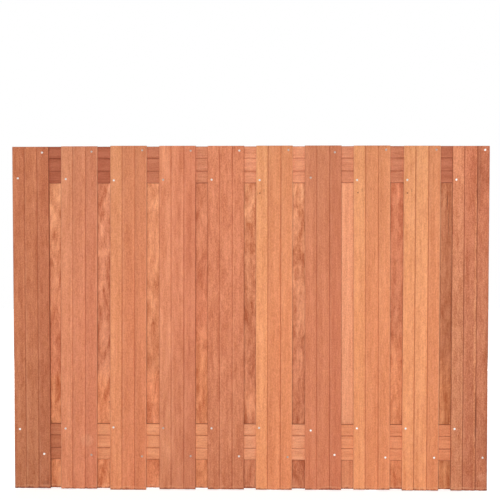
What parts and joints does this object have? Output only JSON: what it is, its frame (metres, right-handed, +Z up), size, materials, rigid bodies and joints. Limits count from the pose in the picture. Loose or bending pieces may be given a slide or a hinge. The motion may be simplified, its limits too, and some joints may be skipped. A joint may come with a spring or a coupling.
{
  "type": "wooden fence panel",
  "caption": "Hardwood fence panel: grooved vertical boards screwed with gaps to the front and back of flat rails, so that each back board closes a gap.",
  "frame": {"origin": "foot of the longest board, middle of the width and of the thickness", "axes": "+X along the rails, to the right seen from the front; -Y out of the front; +Z up along the boards"},
  "size_m": [1.8, 0.045, 1.309],
  "materials": {
    "hardwood_umber": "planed red-brown tropical hardwood, untreated, fine straight grain",
    "hardwood_russet": "planed red-brown tropical hardwood, untreated, fine straight grain",
    "hardwood_copper": "planed red-brown tropical hardwood, untreated, fine straight grain",
    "hardwood_amber": "planed red-brown tropical hardwood, untreated, fine straight grain",
    "hardwood_honey": "planed red-brown tropical hardwood, untreated, fine straight grain",
    "hardwood_blush": "planed red-brown tropical hardwood, untreated, fine straight grain",
    "stainless_steel": "bright stainless screw heads"
  },
  "bodies": {
    "root": {"front_board_01": "hardwood_umber", "front_board_02": "hardwood_copper", "front_board_03": "hardwood_amber", "front_board_04": "hardwood_copper", "front_board_05": "hardwood_russet", "front_board_06": "hardwood_honey", "front_board_07": "hardwood_copper", "front_board_08": "hardwood_honey", "front_board_09": "hardwood_honey", "front_board_10": "hardwood_russet", "back_board_01": "hardwood_russet", "back_board_02": "hardwood_copper", "back_board_03": "hardwood_amber", "back_board_04": "hardwood_russet", "back_board_05": "hardwood_russet", "back_board_06": "hardwood_copper", "back_board_07": "hardwood_blush", "back_board_08": "hardwood_russet", "back_board_09": "hardwood_umber", "top_rail": "hardwood_copper", "bottom_rail": "hardwood_copper", "front_screws_top_rail": "stainless_steel", "front_screws_bottom_rail": "stainless_steel", "back_screws_top_rail": "stainless_steel", "back_screws_bottom_rail": "stainless_steel"}
  },
  "joints": []
}
